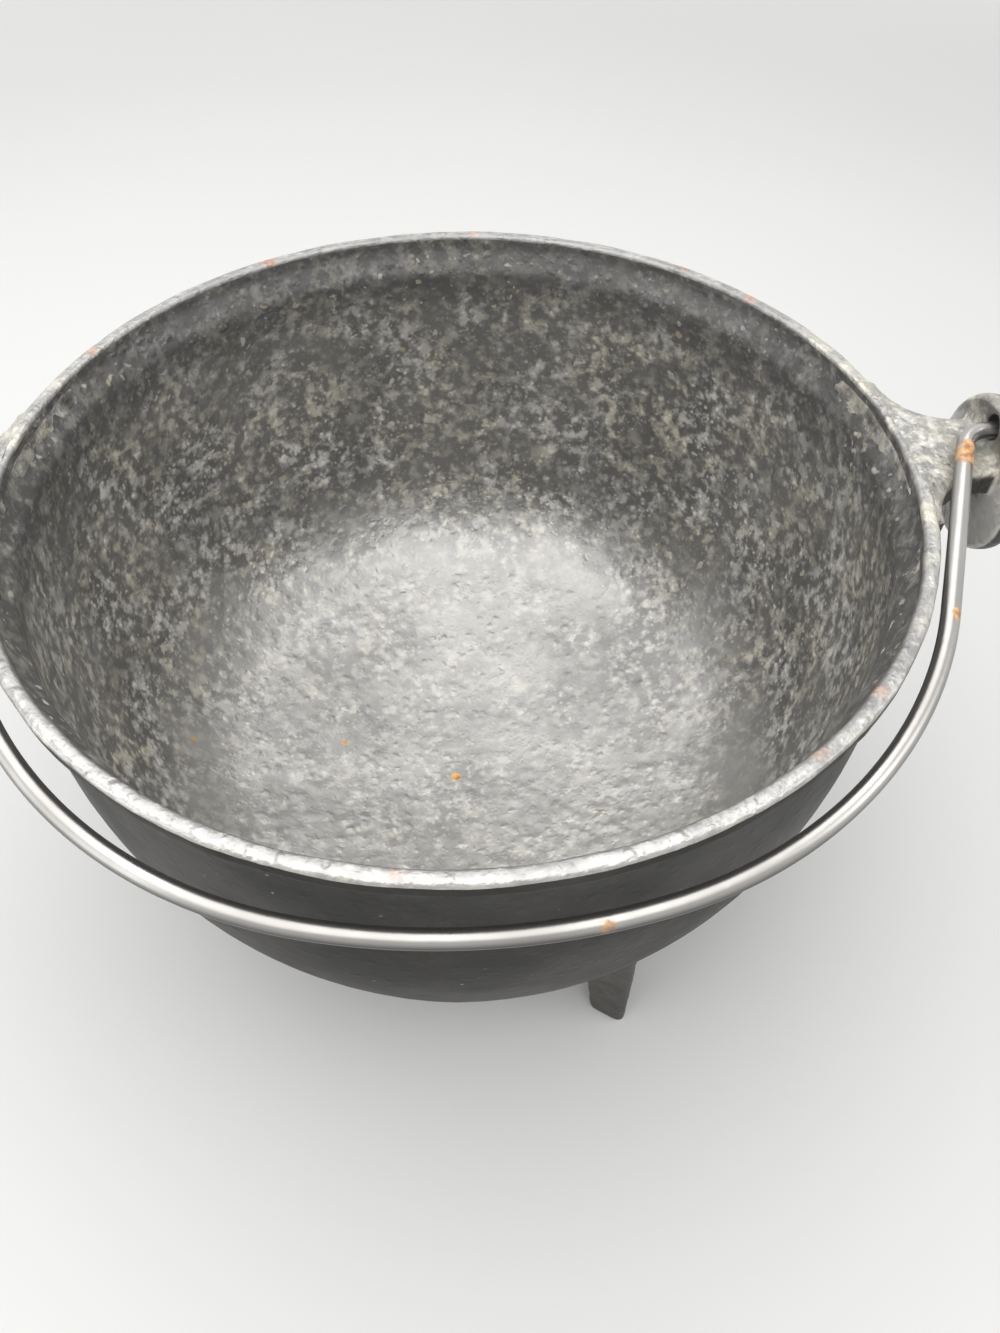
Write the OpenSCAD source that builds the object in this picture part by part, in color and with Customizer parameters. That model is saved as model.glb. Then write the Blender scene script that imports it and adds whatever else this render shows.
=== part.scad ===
// Three-footed cauldron: a cast iron bowl with two ears and three feet, and a wire bail hooked
// through the ears. Millimetres, +Z up, the feet stand on z = 0 and the bowl's axis is the Z axis.
// The ears lie on the X axis and the front of the pot faces -Y.

/* [Bowl] */
// Inner radius of the mouth at the lip
mouth_r = 92; // [80:0.5:110]
// Height of the lip's top above the ground
pot_h = 129; // [118:0.5:145]
// Depth of the bowl outside, from the lip's top to its lowest point
bowl_depth = 106; // [100:0.5:112]
// Thickness of the iron
wall = 3.2; // [2.4:0.1:4.4]
// Width of the lip seen from above
lip_w = 3.6; // [3:0.1:5]
// Height of the lip
lip_h = 4.4; // [3.4:0.1:6]
// Rounding of the lip's edges
lip_round = 1.2; // [0.6:0.1:1.4]
// How far the lip stands out past the side below it
lip_out = 2.6; // [1.6:0.1:3.2]
// Height over which the side flares out to the lip
flare_h = 5; // [3:0.5:9]
// Height of the straight band under the lip's top, before the side curves in
side_drop = 27.5; // [18:0.5:34]
// Radius of the side's long curve
side_arc_r = 129; // [110:1:160]
// Angle that the side's long curve turns through
side_sweep = 21; // [16:0.5:25]
// Radius of the tighter curve between side and bottom
belly_r = 38; // [30:0.5:44]

/* [Ears] */
// Radius of the ear's round flange
flange_r = 16.8; // [15:0.1:20]
// Thickness of the flange
flange_t = 5; // [4:0.25:8]
// Rounding of the flange's edges
flange_round = 1.6; // [0.6:0.1:2]
// How far the flange's centre lies below the bail's axis
flange_sink = 11.3; // [9:0.1:12]
// Radius of the eye that the wire hangs in
eye_r = 2.5; // [2.2:0.1:3.2]
// Length of the neck, from the lip's edge to the flange
neck_l = 14.7; // [13:0.1:18]
// Half width of the neck at its narrowest
neck_w = 9.5; // [7:0.25:11]
// Radius of the scoop in each side of the neck, which widens it towards the lip
neck_scoop = 14; // [12.5:0.5:18]
// Thickness of the neck
neck_t = 6; // [4:0.25:8]
// Thickness of the brace under the neck
brace_t = 6; // [4:0.25:9]
// Depth of the brace below the neck
brace_h = 18; // [12:0.5:24]

/* [Bail] */
// Diameter of the wire
wire_d = 3.6; // [3:0.1:5]
// Gap between the lip and the wire in front of it, seen from above
crown_gap = 1.9; // [1:0.1:5]
// Radius of the crown, the flatter middle of the bail
crown_r = 129; // [118:1:150]
// Radius of the shoulders, between the crown and the straight arms
shoulder_r = 84; // [70:1:88]
// Angle at which the arms lean outwards to the ears
arm_slope = 21; // [15:1:25]
// Radius of the bend that turns the wire out into its eye
end_bend_r = 6; // [4:0.25:8]
// Gap between that bend and the flange
eye_gap = 0.7; // [0.4:0.1:3]
// Gap between the flange and the tail's bend
tail_gap = 1.2; // [0.5:0.1:4]
// Radius of the tail's bend
tail_bend_r = 4.5; // [3.5:0.1:7]
// Straight length of the tail
tail_run = 7; // [3:0.5:14]
// Height of the bail's axis above the lip's top
axis_rise = 2.4; // [1:0.1:4]
// Angle that the resting bail dips below level
bail_dip = 8; // [4:0.5:12]

/* [Feet] */
// Number of feet
foot_count = 3; // [3:1:3]
// Angle of the first foot from the front, towards +X
foot_turn = 27; // [0:1:60]
// How far a foot's outer ridge lies in from the bowl's side
foot_inset = 13.5; // [9:0.5:19]
// Depth of the sole, from its ridge to its back
sole_l = 9; // [7.5:0.25:13]
// Width of the sole
sole_w = 10; // [8:0.25:14]
// Depth of the foot at the height of its root
root_l = 17; // [13:0.25:22]
// Width of the foot at the height of its root
root_w = 16; // [13:0.25:20]
// Rounding of the foot's ridge and corners
foot_round = 1.8; // [1:0.1:2.6]

/* [Hidden] */
$fn = 96;
iron = "#3b3a38";
steel = "#8a8a88";

// Clearance where two pieces rest against each other without touching
rest_gap = 0.05;
// Overlap of two bodies of iron that are one casting
joint_lap = 1;
// How far a cut starts and ends past what it cuts
cut_past = 1;
// Thickness of the two levels that a foot is stretched between
level_t = 0.1;
// Radius of the brace's scoop as a share of the brace's reach
brace_scoop = 0.72;
lap_turn = 1.5;
wire_r = wire_d/2;
// The leaning arms are thinner by this, so that their ends nest in those of the crown and the bends
nest_gap = 0.004;
arm_wire_r = wire_r - nest_gap;

// Lip and side
lip_r = mouth_r + lip_w;
side_r = lip_r - lip_out;
lip_base = pot_h - lip_h;
flare_base = lip_base - flare_h;
foot_ring_r = side_r - foot_inset;

// The bowl's outline is three arcs that run into each other: side, belly and bottom
side_c = [side_r - side_arc_r, pot_h - side_drop];
side_dir = [cos(side_sweep), -sin(side_sweep)];
belly_c = side_c + (side_arc_r - belly_r)*side_dir;
bottom_z = pot_h - bowl_depth;
belly_up = belly_c[1] - bottom_z;
bottom_r = (pow(belly_c[0], 2) + pow(belly_up, 2) - pow(belly_r, 2))/(2*(belly_up - belly_r));
bottom_c = [0, bottom_z + bottom_r];
belly_end = atan2(belly_c[1] - bottom_c[1], belly_c[0]);

// The ears' flanges and the eyes in them, which the wire hangs in
axis_z = pot_h + axis_rise;
flange_x = lip_r + neck_l;
flange_z = axis_z - flange_sink;
eye_z = axis_z + eye_r - wire_r - rest_gap;
scoop_x = flange_x - neck_l/8;
scoop_y = neck_w + neck_scoop;

// The bail lying flat with its crown towards -Y. The arms run in the direction arm_dir, arm_in
// points inwards across them, and the shoulder's arc runs into both the arm and the crown.
reach = lip_r + crown_gap + wire_r;
bend_c = [flange_x - eye_gap, -end_bend_r];
arm_dir = [-sin(arm_slope), -cos(arm_slope)];
arm_in = [-cos(arm_slope), sin(arm_slope)];
crown_c = [0, crown_r - reach];
from_c = bend_c + (end_bend_r + shoulder_r)*arm_in - crown_c;
arm_run = sqrt(pow(from_c*arm_dir, 2) - from_c*from_c + pow(crown_r - shoulder_r, 2)) - from_c*arm_dir;
shoulder_x = (from_c + arm_run*arm_dir)[0];
shoulder_dy = (from_c + arm_run*arm_dir)[1];
crown_turn = atan2(-shoulder_dy, shoulder_x);
tail_x = flange_x + flange_t + tail_gap;

// The shoulder in the arm's own frame, which starts at the end's bend and has the arm along -Y:
// its centre, and points on the lines through it to the crown and across the arm
shoulder_c = [-end_bend_r - shoulder_r, -arm_run];
cut_l = 1.3*shoulder_r;
to_crown = shoulder_c + cut_l*[cos(crown_turn - arm_slope), -sin(crown_turn - arm_slope)];
to_arm = shoulder_c + [cut_l, 0];

// The neck's top is the stop that the resting wire lies on, where it crosses the neck's front edge:
// at y, the wire is wire_u - wire_s*y out from the bowl's axis, and the edge is the scoop's circle
wire_s = tan(arm_slope)/cos(bail_dip);
wire_u = bend_c[0] - end_bend_r/cos(arm_slope) + end_bend_r*tan(arm_slope) - scoop_x;
stop_a = 1 + wire_s*wire_s;
stop_b = wire_s*wire_u + scoop_y;
stop_y = (stop_b - sqrt(stop_b*stop_b - stop_a*(wire_u*wire_u + scoop_y*scoop_y - neck_scoop*neck_scoop)))/stop_a;
neck_top = axis_z - stop_y*tan(bail_dip) - wire_r/cos(bail_dip) - rest_gap;

// A foot runs up into the belly and is cut off by it
root_z = pot_h - side_drop - side_arc_r*sin(side_sweep);

// Slice of a disc, centre c, radius r, from angle a down to angle b
module slice(c, r, a, b) {
    far = 2*r;
    intersection() {
        translate(c) circle(r, $fn = 180);
        polygon([c, c + far*[cos(a), sin(a)], c + far*[cos((a + b)/2), sin((a + b)/2)],
                 c + far*[cos(b), sin(b)]]);
    }
}

// Half section of the bowl as if it were solid, drawn in by t, up to the height top. The belly's
// slice laps under its neighbours, where its tighter curve lies inside theirs.
module round_half(t, top) {
    intersection() {
        square([2*side_r, top]);
        union() {
            translate([0, side_c[1]]) square([side_r - t, top - side_c[1]]);
            slice(side_c, side_arc_r - t, lap_turn, -side_sweep);
            slice(belly_c, belly_r - t, lap_turn - side_sweep, belly_end - lap_turn);
            slice(bottom_c, bottom_r - t, belly_end, -90);
        }
    }
}

// Half section of the lip, a bar with rounded edges
module lip_half() {
    translate([mouth_r, lip_base]) union() {
        translate([lip_round, 0]) square([lip_w - 2*lip_round, lip_h]);
        translate([0, lip_round]) square([lip_w, lip_h - 2*lip_round]);
        for (x = [lip_round, lip_w - lip_round], z = [lip_round, lip_h - lip_round])
            translate([x, z]) circle(lip_round, $fn = 48);
    }
}

// Half section of the flare between side and lip, started a little lower so that it joins the side
module flare_half() {
    polygon([[side_r - wall, flare_base - joint_lap], [side_r, flare_base - joint_lap], [side_r, flare_base],
             [lip_r - lip_round, lip_base], [lip_r - lip_round, lip_base + lip_round],
             [mouth_r + lip_round, lip_base + lip_round], [mouth_r, lip_base + lip_round],
             [side_r - wall, flare_base]]);
}

// Everything that the bowl fills, with its hollow closed: what ears and feet are seated on
module bowl_solid() {
    rotate_extrude($fn = 180) {
        round_half(0, flare_base);
        translate([0, flare_base - joint_lap]) square([mouth_r, joint_lap + flare_h]);
        translate([0, lip_base]) square([mouth_r + lip_round, lip_h]);
        flare_half();
        lip_half();
    }
}

module bowl() {
    color(iron) rotate_extrude($fn = 180) {
        difference() {
            round_half(0, flare_base);
            round_half(wall, flare_base);
        }
        flare_half();
        lip_half();
    }
}

// Round flange with rounded edges, its axis along X, from x = 0 to its thickness
module flange() {
    rotate([0, 90, 0]) rotate_extrude() {
        square([flange_r - flange_round, flange_t]);
        translate([0, flange_round]) square([flange_r, flange_t - 2*flange_round]);
        for (z = [flange_round, flange_t - flange_round])
            translate([flange_r - flange_round, z]) circle(flange_round, $fn = 48);
    }
}

// Shelf between lip and flange, scooped in at its sides
module neck() {
    end = flange_x + flange_t/2;
    translate([0, 0, neck_top - neck_t]) linear_extrude(neck_t) difference() {
        translate([side_r - wall, -scoop_y]) square([end - side_r + wall, 2*scoop_y]);
        for (side = [-1, 1]) {
            translate([scoop_x, side*scoop_y]) circle(neck_scoop, $fn = 180);
            translate([scoop_x, side*(neck_w + scoop_y) - scoop_y]) square([neck_l, 2*scoop_y]);
        }
    }
}

// Brace under the neck, scooped out between side and flange
module brace() {
    low = neck_top - neck_t - brace_h;
    span = flange_x - side_r;
    translate([0, brace_t/2, 0]) rotate([90, 0, 0]) linear_extrude(brace_t) difference() {
        translate([side_r - wall, low]) square([flange_x + flange_t/2 - side_r + wall, brace_h + neck_t/2]);
        translate([side_r + span, low]) circle(brace_scoop*span);
    }
}

// Ear on the +X side
module ear() {
    color(iron) difference() {
        union() {
            translate([flange_x, 0, flange_z]) flange();
            neck();
            brace();
        }
        translate([flange_x - cut_past, 0, eye_z]) rotate([0, 90, 0])
            cylinder(r = eye_r, h = flange_t + 2*cut_past);
        bowl_solid();
    }
}

module ear_right() { ear(); }
module ear_left() { rotate([0, 0, 180]) ear(); }

// Foot that stands out along +X: a ridge outside, two corners inside
module foot_level(z, l, w) {
    translate([foot_ring_r, 0, z]) {
        translate([-foot_round, 0, 0]) cylinder(r = foot_round, h = level_t, $fn = 32);
        for (side = [-1, 1])
            translate([foot_round - l, side*(w/2 - foot_round), 0])
                cylinder(r = foot_round, h = level_t, $fn = 32);
    }
}

module foot(index) {
    color(iron) rotate([0, 0, foot_turn - 90 + index*360/foot_count]) difference() {
        hull() {
            foot_level(0, sole_l, sole_w);
            foot_level(root_z, root_l, root_w);
        }
        bowl_solid();
    }
}

module foot_front() { foot(0); }
module foot_back() { foot(1); }
module foot_left() { foot(2); }

// Ring of wire in the bail's plane, centre c, radius r, with w the wire's radius
module wire_ring(c, r, w = wire_r) {
    translate([c[0], c[1], 0]) rotate_extrude($fn = 180) translate([r, 0]) circle(w, $fn = 32);
}

// Quarter of a ring of wire, starting at angle a
module wire_quarter(c, r, a) {
    translate([c[0], c[1], 0]) rotate([0, 0, a]) rotate_extrude(angle = 90, $fn = 96)
        translate([r, 0]) circle(wire_r, $fn = 32);
}

// Straight wire from p, l long, in direction a
module wire_run(p, l, a, w = wire_r) {
    translate([p[0], p[1], 0]) rotate([0, 0, a]) rotate([0, 90, 0]) cylinder(r = w, h = l, $fn = 32);
}

// Part of the bail's plane inside an outline
module region(outline) {
    translate([0, 0, -wire_d]) linear_extrude(2*wire_d) polygon(outline);
}

// Frame of the +X arm
module on_arm() {
    translate([bend_c[0], bend_c[1], 0]) rotate([0, 0, -arm_slope]) children();
}

// Side of the +X shoulder's end on which the crown lies
module crown_side() {
    over = -2*reach*[cos(arm_slope), sin(arm_slope)];
    on_arm() region([shoulder_c, to_crown, to_crown + over, shoulder_c + over]);
}

// Crown of the bail, between the two shoulders
module crown() {
    intersection() {
        wire_ring(crown_c, crown_r);
        crown_side();
        mirror([1, 0, 0]) crown_side();
    }
}

// Everything between crown and tail on the +X side. What meets at a slant is cut along one line.
module bail_end() {
    intersection() {
        on_arm() wire_ring(shoulder_c, shoulder_r, arm_wire_r);
        on_arm() region([shoulder_c, to_crown, to_crown + to_arm - shoulder_c, to_arm]);
    }
    on_arm() wire_run([-end_bend_r, 0], arm_run, -90, arm_wire_r);
    intersection() {
        wire_quarter(bend_c, end_bend_r, 90);
        on_arm() region(end_bend_r*[[-3, 0], [1, 0], [1, 3], [-3, 3]]);
    }
    wire_run([bend_c[0], 0], tail_x - bend_c[0], 0);
    wire_quarter([tail_x, -tail_bend_r], tail_bend_r, 0);
    wire_run([tail_x + tail_bend_r, -tail_bend_r], tail_run, -90);
    translate([tail_x + tail_bend_r, -tail_bend_r - tail_run, 0]) rotate([90, 0, 0])
        cylinder(r1 = wire_r, r2 = wire_r/2, h = wire_r/2, $fn = 32);
}

module bail() {
    color(steel) translate([0, 0, axis_z]) rotate([bail_dip, 0, 0]) {
        crown();
        bail_end();
        mirror([1, 0, 0]) bail_end();
    }
}

bowl();
ear_right();
ear_left();
foot_front();
foot_back();
foot_left();
bail();
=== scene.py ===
"""A three-footed cast iron cauldron with a wire bail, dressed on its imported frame.

The bowl is spun from its own profile and roughened as sand casting leaves it. The ears and the feet
are the frame's own forms, run into the bowl's wall with soft corners. The bail is one wire, carried
through the straights and bends of the frame's.
"""

from __future__ import annotations

import logging
import math
from dataclasses import dataclass, field
from enum import Enum
from functools import partialmethod
from typing import Callable, Protocol, Sequence

import bmesh
import bpy
from mathutils import Matrix, Vector, noise

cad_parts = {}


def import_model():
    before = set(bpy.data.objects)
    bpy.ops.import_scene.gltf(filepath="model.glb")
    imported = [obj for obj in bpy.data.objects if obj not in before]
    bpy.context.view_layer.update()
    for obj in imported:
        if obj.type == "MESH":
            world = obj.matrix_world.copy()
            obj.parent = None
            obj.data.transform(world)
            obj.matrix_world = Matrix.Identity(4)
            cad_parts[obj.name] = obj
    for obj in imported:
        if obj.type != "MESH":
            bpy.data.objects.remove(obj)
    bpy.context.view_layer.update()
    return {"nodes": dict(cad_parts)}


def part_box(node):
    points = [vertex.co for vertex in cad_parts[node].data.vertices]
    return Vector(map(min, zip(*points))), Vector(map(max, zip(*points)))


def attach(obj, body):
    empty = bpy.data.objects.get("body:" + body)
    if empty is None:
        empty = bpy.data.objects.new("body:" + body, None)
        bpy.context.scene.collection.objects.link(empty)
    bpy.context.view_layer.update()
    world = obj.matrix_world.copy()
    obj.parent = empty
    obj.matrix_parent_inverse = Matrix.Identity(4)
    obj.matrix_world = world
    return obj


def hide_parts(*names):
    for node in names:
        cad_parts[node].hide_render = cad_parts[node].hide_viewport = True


LOG = logging.getLogger("cauldron")
MM = 0.001
MERGE = 0.001 * MM
FACING = "facing"

Colour = tuple[float, float, float]
Point = tuple[float, float, float]
Level = tuple[float, float]
Mesh = bmesh.types.BMesh
Piece = bpy.types.Object
Material = bpy.types.Material
Socket = bpy.types.NodeSocket
Node = bpy.types.Node


class Body(Enum):
    """The bodies of the frame."""

    POT = "pot"
    BAIL = "bail"


class Slot(Enum):
    """The record's material slots."""

    IRON = "iron"
    WIRE = "wire"


class Face(Enum):
    """The bowl's finishes, in the order of its material slots."""

    OUTSIDE = 0
    LIP = 1
    INSIDE = 2


# Profile of the bowl


@dataclass(frozen=True)
class BowlProfile:
    """Half section of the bowl, in metres, as the frame has it."""

    mouth_r: float = 92 * MM
    pot_h: float = 129 * MM
    depth: float = 106 * MM
    wall: float = 3.2 * MM
    lip_w: float = 3.6 * MM
    lip_h: float = 4.4 * MM
    lip_round: float = 1.2 * MM
    lip_out: float = 2.6 * MM
    flare_h: float = 5 * MM
    side_drop: float = 27.5 * MM
    side_arc_r: float = 129 * MM
    side_sweep: float = math.radians(21)
    belly_r: float = 38 * MM
    corner_steps: int = 4

    @property
    def lip_r(self) -> float:
        """Outer radius of the lip."""
        return self.mouth_r + self.lip_w

    @property
    def side_r(self) -> float:
        """Outer radius of the straight band under the lip."""
        return self.lip_r - self.lip_out

    @property
    def lip_base(self) -> float:
        """Height of the lip's underside."""
        return self.pot_h - self.lip_h

    @property
    def flare_base(self) -> float:
        """Height at which the side starts to flare out to the lip."""
        return self.lip_base - self.flare_h

    @property
    def side_c(self) -> Level:
        """Centre of the side's long arc."""
        return (self.side_r - self.side_arc_r, self.pot_h - self.side_drop)

    @property
    def belly_c(self) -> Level:
        """Centre of the belly's arc."""
        x, z, run = *self.side_c, self.side_arc_r - self.belly_r
        return (x + run * math.cos(self.side_sweep), z - run * math.sin(self.side_sweep))

    @property
    def bottom_r(self) -> float:
        """Radius of the bottom's shallow arc."""
        up = self.belly_c[1] - self.pot_h + self.depth
        return (self.belly_c[0] ** 2 + up**2 - self.belly_r**2) / (2 * (up - self.belly_r))

    @property
    def bottom_c(self) -> Level:
        """Centre of the bottom's shallow arc."""
        return (0.0, self.pot_h - self.depth + self.bottom_r)

    @property
    def belly_end(self) -> float:
        """Angle at which the belly runs into the bottom."""
        return math.atan2(self.belly_c[1] - self.bottom_c[1], self.belly_c[0])

    def wall_line(self, inset: float, step: float) -> list[Level]:
        """Points up the wall from the bottom's middle to the flare.

        Args:
            inset: Distance inside the outer surface.
            step: Spacing of the points.

        Returns:
            Radius and height of each point.
        """
        line: list[Level] = []
        arcs = (
            (self.bottom_c, self.bottom_r - inset, -math.pi / 2, self.belly_end),
            (self.belly_c, self.belly_r - inset, self.belly_end, -self.side_sweep),
            (self.side_c, self.side_arc_r - inset, -self.side_sweep, 0.0),
        )
        for centre, radius, start, end in arcs:
            count = max(2, round(radius * (end - start) / step))
            for i in range(count):
                a = start + (end - start) * i / count
                line.append((max(0.0, centre[0] + radius * math.cos(a)), centre[1] + radius * math.sin(a)))
        rise = self.flare_base - self.side_c[1]
        count = max(2, round(rise / step))
        line += [(self.side_r - inset, self.side_c[1] + rise * i / count) for i in range(count + 1)]
        return line

    def corner(self, r: float, z: float, start: float, end: float) -> list[Level]:
        """Points round one of the lip's rounded edges.

        Args:
            r: Radius at which the edge's centre lies.
            z: Height of that centre.
            start: First angle, in degrees.
            end: Last angle, in degrees.

        Returns:
            Radius and height of each point.
        """
        count = self.corner_steps
        angles = [math.radians(start + (end - start) * i / count) for i in range(count + 1)]
        return [(r + self.lip_round * math.cos(a), z + self.lip_round * math.sin(a)) for a in angles]

    def height_over(self, co: Vector) -> float:
        """Distance of a point outside the bowl's outer surface.

        Args:
            co: The point.

        Returns:
            The distance, which is negative inside the iron.
        """
        r, z = math.hypot(co.x, co.y), co.z
        if z >= self.lip_base:
            return r - self.lip_r
        if z >= self.flare_base:
            share = (z - self.flare_base) / self.flare_h
            return r - self.side_r - share * (self.lip_r - self.lip_round - self.side_r)
        if z >= self.side_c[1]:
            return r - self.side_r
        from_side = math.atan2(z - self.side_c[1], r - self.side_c[0])
        if from_side > -self.side_sweep:
            return math.dist((r, z), self.side_c) - self.side_arc_r
        from_bottom = math.atan2(z - self.bottom_c[1], r)
        if from_bottom > self.belly_end:
            return math.dist((r, z), self.belly_c) - self.belly_r
        return math.hypot(r, z - self.bottom_c[1]) - self.bottom_r


# Relief that casting leaves


@dataclass(frozen=True)
class Relief:
    """Unevenness of a cast surface: slow waves, pebbles and a finer grain, heights in metres.

    The values after the lift shape the pebbles: how fast they fall off from their middles, how high all of
    them are and how much that varies, over how many of them, and the lumps between them.
    """

    wave: float
    wave_size: float
    pebble: float
    pebble_size: float
    grain: float
    grain_size: float
    lift: float = 0.0
    fall: float = 2.2
    even: float = 0.6
    varied: float = 0.8
    varied_over: float = 4
    lump: float = 0.40
    lump_size: float = 0.9

    def height(self, co: Vector) -> float:
        """Height of the relief at a point.

        Args:
            co: The point.

        Returns:
            The height, with the lift.
        """
        wave = noise.noise(co / self.wave_size)
        near = noise.voronoi(co / self.pebble_size)[0][0]
        dome = max(0.0, 1.0 - self.fall * near * near)
        share = self.even + self.varied * noise.noise(co / (self.varied_over * self.pebble_size))
        pebble = dome * dome * share + self.lump * noise.noise(co / (self.lump_size * self.pebble_size))
        grain = noise.noise(co / self.grain_size)
        return self.lift + self.wave * wave + self.pebble * pebble + self.grain * grain


ROUGH_INSIDE = Relief(0.34 * MM, 22 * MM, 0.26 * MM, 4.4 * MM, 0.04 * MM, 2.4 * MM)
FAIR_OUTSIDE = Relief(0.16 * MM, 21 * MM, 0.05 * MM, 4.0 * MM, 0.03 * MM, 2.2 * MM, -0.16 * MM)
WORN_LIP = Relief(0.20 * MM, 13 * MM, 0.12 * MM, 4.6 * MM, 0.04 * MM, 2.2 * MM, -0.28 * MM)
CAST_PART = Relief(0.12 * MM, 9 * MM, 0.10 * MM, 3.0 * MM, 0.05 * MM, 1.5 * MM, -0.17 * MM)
DRAWN_WIRE = Relief(0.04 * MM, 27 * MM, 0.0, 4 * MM, 0.012 * MM, 2.0 * MM, -0.04 * MM)


# Meshes


def displace(bm: Mesh, height: Callable[[Vector], float]) -> None:
    """Moves every vertex along its normal.

    Args:
        bm: Mesh to move.
        height: Gives the distance at a place.
    """
    bm.normal_update()
    moves = [(v, v.normal * height(v.co)) for v in bm.verts]
    for v, move in moves:
        v.co += move


def add_object(name: str, data: bpy.types.ID) -> Piece:
    """Adds an object to the scene, at the origin.

    Args:
        name: Name of the object.
        data: What it shows.

    Returns:
        The object.
    """
    made = bpy.data.objects.new(name, data)
    bpy.context.scene.collection.objects.link(made)
    return made


def finish_mesh(name: str, bm: Mesh, smooth: bool = True) -> Piece:
    """Turns a bmesh into an object, which keeps the direction that each point faces.

    Args:
        name: Name of the piece.
        bm: Mesh with outward faces. It is freed.
        smooth: Whether faces are shaded smooth.

    Returns:
        The new object.
    """
    mesh = bpy.data.meshes.new(name)
    bm.to_mesh(mesh)
    bm.free()
    facing = mesh.attributes.new(FACING, "FLOAT_VECTOR", "POINT")
    facing.data.foreach_set("vector", [c for v in mesh.vertices for c in v.normal])
    if smooth:
        mesh.polygons.foreach_set("use_smooth", [True] * len(mesh.polygons))
    return add_object(name, mesh)


def dress(piece: Piece, body: Body, node: str, finishes: Sequence[Material]) -> None:
    """Gives a piece its finishes and its place in the frame.

    Args:
        piece: The piece.
        body: Body that it rides on.
        node: Node whose place it takes.
        finishes: Its materials, in order.
    """
    for material in finishes:
        piece.data.materials.append(material)
    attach(piece, body.value)
    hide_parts(node)
    LOG.info("%s: %d faces", piece.name, len(piece.data.polygons))


def spin_line(bm: Mesh, line: Sequence[Level], start: float, turn: float, steps: int) -> None:
    """Spins a line round the Z axis into a surface.

    Args:
        bm: Mesh that takes the surface.
        line: Radius and height of each point, a closed line if the first comes again at its end.
        start: Azimuth at which the spin starts.
        turn: Angle of the spin.
        steps: Number of steps.
    """
    c, s = math.cos(start), math.sin(start)
    closed = line[0] == line[-1]
    verts = [bm.verts.new((r * c, r * s, z)) for r, z in (line[:-1] if closed else line)]
    edges = [bm.edges.new(pair) for pair in zip(verts, verts[1:])]
    if closed:
        edges.append(bm.edges.new((verts[-1], verts[0])))
    bmesh.ops.spin(
        bm,
        geom=verts + edges,
        cent=(0, 0, 0),
        axis=(0, 0, 1),
        angle=turn,
        steps=steps,
        use_merge=math.isclose(turn, math.tau),
    )


# Shader groups


HALF = (0.5, 0.5, 0.5)
SOCKETS = {"Place": "NodeSocketVector", "Colour": "NodeSocketColor"}


class Effect(Enum):
    """The shared shader groups."""

    GRAIN = "casting_grain"
    SPECKS = "pale_specks"
    RUST = "rust_bloom"
    FILE = "file_marks"


def rgba(colour: Sequence[float]) -> tuple[float, ...]:
    """A colour with full alpha."""
    return (*colour, 1.0)


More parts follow.
